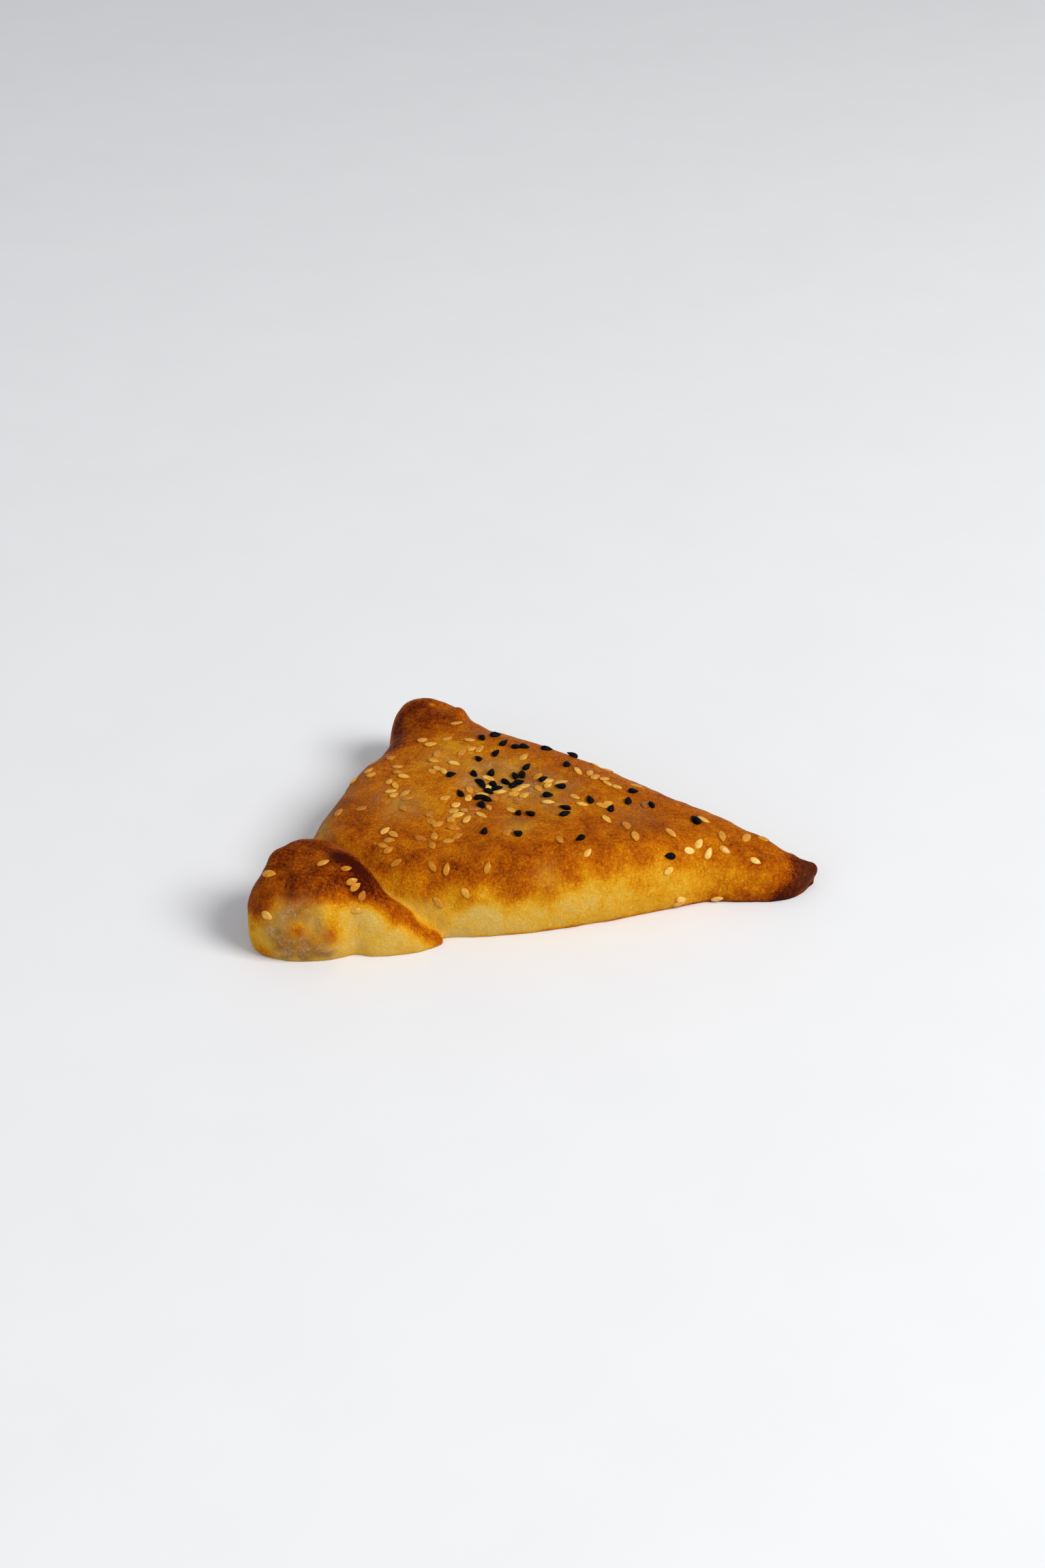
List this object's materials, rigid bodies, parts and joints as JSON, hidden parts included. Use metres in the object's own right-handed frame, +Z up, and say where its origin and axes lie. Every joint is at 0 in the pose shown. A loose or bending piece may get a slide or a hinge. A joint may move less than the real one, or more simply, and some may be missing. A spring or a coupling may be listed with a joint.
{
  "type": "fatayer",
  "caption": "Baked triangular dough pastry: a puffed three-cornered pillow with one corner wrapped over in a thick lobe, one round knob corner and one long thin tip.",
  "frame": {"origin": "bottom centre of the bounding box, on the flat underside", "axes": "+Z up; +X towards the long thin tip, along the longest extent; -Y towards the front wall, beside the wrapped lobe; +Y towards the knob corner"},
  "size_m": [0.1532, 0.1082, 0.0245],
  "materials": {
    "dough": null
  },
  "bodies": {
    "root": {"dough": "dough"}
  },
  "joints": []
}
